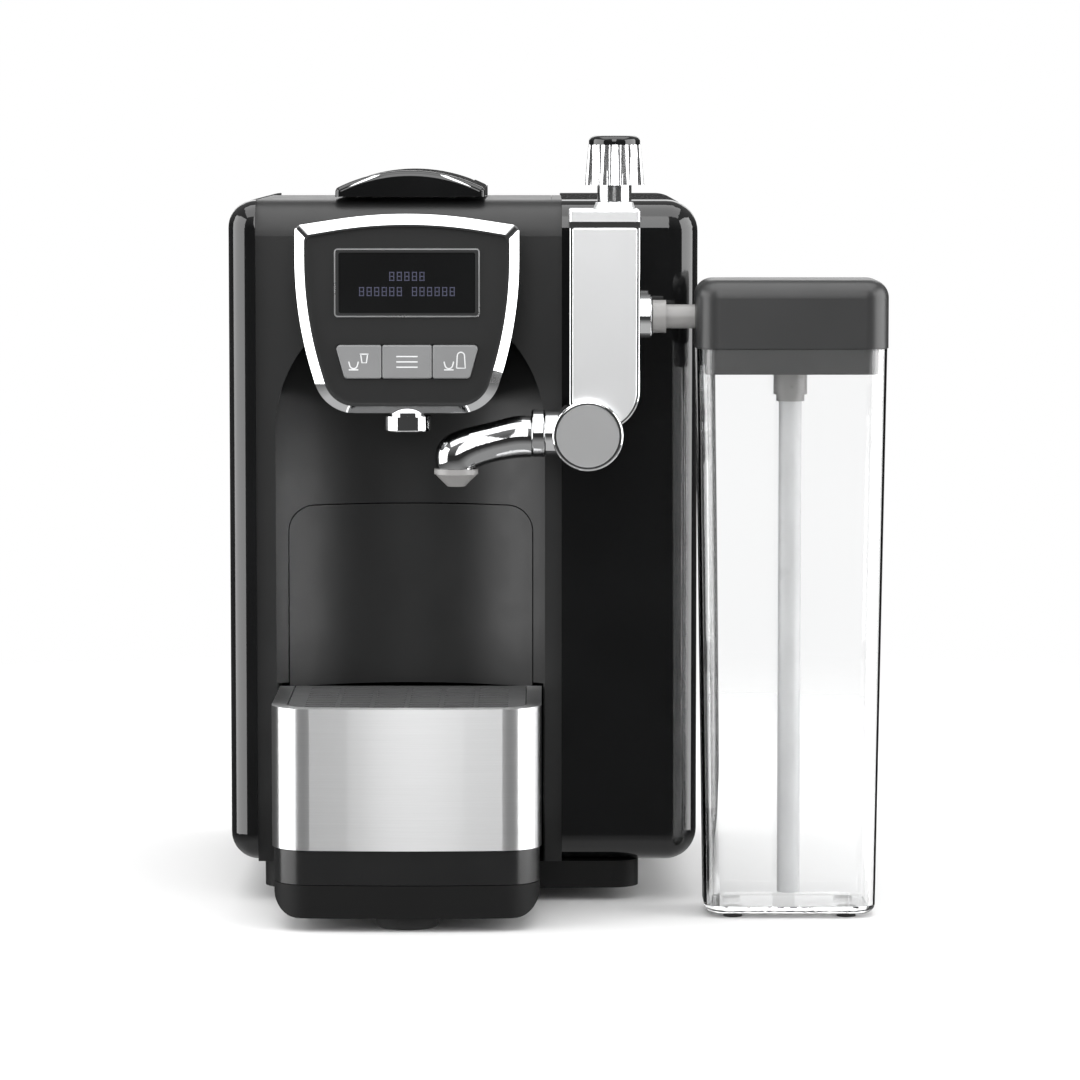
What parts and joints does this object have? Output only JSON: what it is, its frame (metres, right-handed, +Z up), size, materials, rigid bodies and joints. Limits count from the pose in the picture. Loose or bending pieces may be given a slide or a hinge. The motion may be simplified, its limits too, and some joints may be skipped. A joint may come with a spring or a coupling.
{
  "type": "pod coffee machine",
  "caption": "Free-standing pod coffee machine with a shield-shaped control head, milk frother, chrome milk spout, drip drawer and a clip-on milk jug.",
  "frame": {"origin": "bottom centre of the whole object, jug in place", "axes": "+Z up, front towards -Y, milk jug towards +X"},
  "size_m": [0.2906, 0.3036, 0.3425],
  "materials": {
    "aluminium_cast": "as cast",
    "board_green": "circuit board",
    "brushed_steel": "horizontally brushed stainless steel",
    "button_grey": "satin grey",
    "chrome_plastic": "chrome plated plastic",
    "clear_plastic": "clear plastic",
    "display_black": "tinted window",
    "gloss_black": "high gloss black moulded plastic",
    "grey_clear": "milky grey tube plastic",
    "grid_grey": "dark grey textured",
    "head_plastic": "satin dark plastic",
    "hose_silicone": "translucent silicone",
    "inner_plastic": "moulded plastic",
    "lid_plastic": "satin dark grey",
    "matt_black": "fine textured dark plastic",
    "nozzle_grey": "satin grey",
    "rubber_black": "soft foot rubber",
    "satin_metal": "satin anodised",
    "steel": "plain steel",
    "tank_plastic": "smoked clear plastic"
  },
  "bodies": {
    "machine": {"base_plate": "matt_black", "feet": "rubber_black", "side_panel_left": "gloss_black", "side_housing_right": "gloss_black", "column_shell": "matt_black", "top_cover": "matt_black", "back_panel": "inner_plastic", "housing_screws": "steel", "control_head": "head_plastic", "head_bezel": "chrome_plastic", "display_frame": "chrome_plastic", "display_glass": "display_black", "display_module": "inner_plastic", "control_board": "board_green", "button_switches": "inner_plastic", "coffee_spout": "chrome_plastic", "lever_pin": "steel", "brew_frame": "inner_plastic", "capsule_funnel": "inner_plastic", "boiler": "aluminium_cast", "pump": "inner_plastic", "power_board": "board_green", "hoses": "hose_silicone", "steam_valve": "aluminium_cast", "frother_body": "chrome_plastic", "frother_plate": "satin_metal", "frother_cap": "satin_metal", "spout_hub": "chrome_plastic", "spout_disc": "satin_metal", "milk_port": "chrome_plastic", "cord_inlet": "rubber_black"},
    "lever": {"lever_grip": "gloss_black", "lever_arms": "gloss_black"},
    "piston": {"brew_piston": "inner_plastic"},
    "cup_button": {"button_cup": "button_grey"},
    "menu_button": {"button_menu": "button_grey"},
    "milk_button": {"button_milk": "button_grey"},
    "milk_spout": {"spout_arm": "chrome_plastic", "spout_collar": "chrome_plastic", "milk_nozzle": "nozzle_grey"},
    "knob": {"froth_knob": "chrome_plastic", "knob_cap": "gloss_black", "knob_stem": "chrome_plastic"},
    "drip_drawer": {"drip_box": "matt_black", "drip_box_wrap": "brushed_steel", "capsule_bin": "inner_plastic", "bin_front": "matt_black"},
    "grid": {"drip_grid": "grid_grey"},
    "tray": {"lower_tray": "matt_black"},
    "jug": {"jug_body": "clear_plastic", "jug_feet": "rubber_black"},
    "lid": {"jug_lid": "lid_plastic", "lid_insert": "lid_plastic", "lid_pipe": "grey_clear", "suction_fitting": "grey_clear", "suction_tube": "grey_clear"},
    "tank": {"water_tank": "tank_plastic"},
    "tank_cover": {"tank_lid": "lid_plastic"},
    "mains_switch": {"power_switch": "inner_plastic"}
  },
  "joints": [
    {"name": "lever_lift", "type": "hinge", "parent": "machine", "child": "lever", "pos_m": [-0.06435, 0.05197, 0.3166], "axis": [-1, 0, 0], "range_deg": [0, 70]},
    {"name": "piston_draw", "type": "slide", "parent": "machine", "child": "piston", "axis": [0, 1, 0], "range_m": [0, 0.02]},
    {"name": "cup_button_press", "type": "slide", "parent": "machine", "child": "cup_button", "axis": [0, 1, 0], "range_m": [0, 0.0015], "stiffness_N_per_m": 500},
    {"name": "menu_button_press", "type": "slide", "parent": "machine", "child": "menu_button", "axis": [0, 1, 0], "range_m": [0, 0.0015], "stiffness_N_per_m": 500},
    {"name": "milk_button_press", "type": "slide", "parent": "machine", "child": "milk_button", "axis": [0, 1, 0], "range_m": [0, 0.0015], "stiffness_N_per_m": 500},
    {"name": "spout_swing", "type": "hinge", "parent": "machine", "child": "milk_spout", "pos_m": [-0.01035, -0.10603, 0.213], "axis": [-1, 0, 0], "range_deg": [0, 75]},
    {"name": "knob_turn", "type": "hinge", "parent": "machine", "child": "knob", "pos_m": [0.02605, -0.09103, 0.321], "axis": [0, 0, 1], "range_deg": [0, 270]},
    {"name": "drawer_pull", "type": "slide", "parent": "machine", "child": "drip_drawer", "axis": [0, -1, 0], "range_m": [0, 0.13]},
    {"name": "grid_lift", "type": "slide", "parent": "drip_drawer", "child": "grid", "axis": [0, 0, 1], "range_m": [0, 0.03]},
    {"name": "tray_pull", "type": "slide", "parent": "machine", "child": "tray", "axis": [0, -1, 0], "range_m": [0, 0.13]},
    {"name": "jug_pull", "type": "slide", "parent": "machine", "child": "jug", "axis": [1, 0, 0], "range_m": [0, 0.06]},
    {"name": "lid_lift", "type": "slide", "parent": "jug", "child": "lid", "axis": [0, 0, 1], "range_m": [0, 0.245]},
    {"name": "tank_lift", "type": "slide", "parent": "machine", "child": "tank", "axis": [0, 0, 1], "range_m": [0, 0.295]},
    {"name": "tank_lid_swing", "type": "hinge", "parent": "tank", "child": "tank_cover", "pos_m": [-0.06435, 0.13597, 0.3042], "axis": [-1, 0, 0], "range_deg": [0, 80]},
    {"name": "switch_rock", "type": "hinge", "parent": "machine", "child": "mains_switch", "pos_m": [0.03365, 0.14297, 0.07], "axis": [1, 0, 0], "range_deg": [0, 16]}
  ],
  "couplings": [
    {"joint": "piston_draw", "follows": "lever_lift", "m_per_rad": 0.01636}
  ]
}
